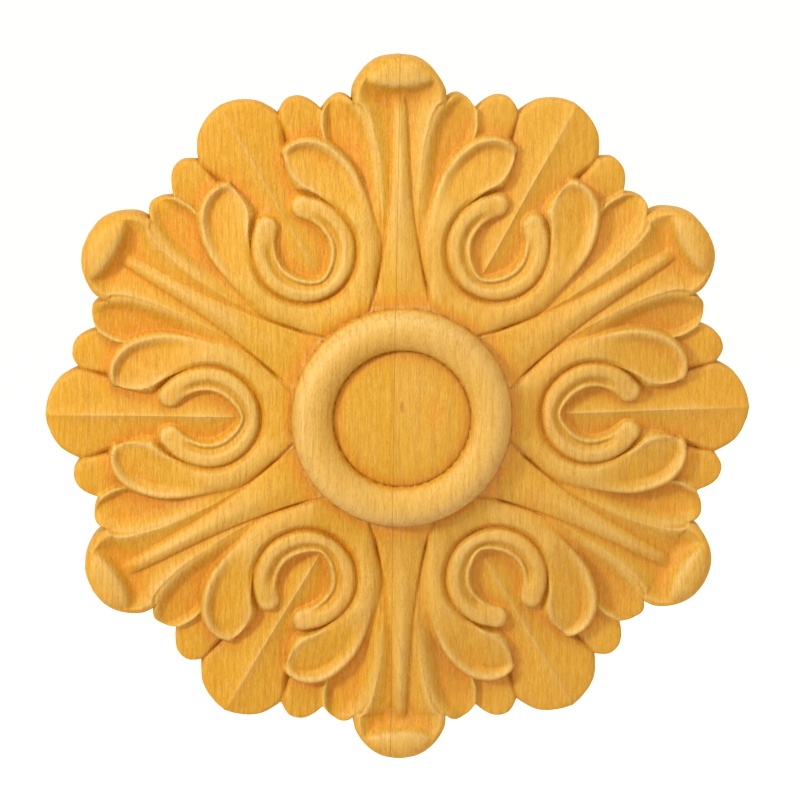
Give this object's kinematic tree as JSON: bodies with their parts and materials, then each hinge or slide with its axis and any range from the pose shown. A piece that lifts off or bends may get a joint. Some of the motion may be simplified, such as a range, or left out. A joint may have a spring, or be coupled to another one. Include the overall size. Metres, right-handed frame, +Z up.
{
  "type": "carved wooden rosette",
  "caption": "Round carved wall rosette in beech: curled acanthus leaves, scrolls and plain leaves around a ring and a low domed button, with a flat back.",
  "frame": {"origin": "centre of the flat back face, where it is fixed to a wall or panel", "axes": "+Y points into the wall, -Y is the carved front, +Z is up along the first main leaf, +X is to the right seen from the front"},
  "size_m": [0.2976, 0.037, 0.3],
  "materials": {
    "beech": "honey-coloured satin beech, paler on the ridges and stained darker in the grooves"
  },
  "bodies": {
    "root": {"rosette": "beech"}
  },
  "joints": []
}
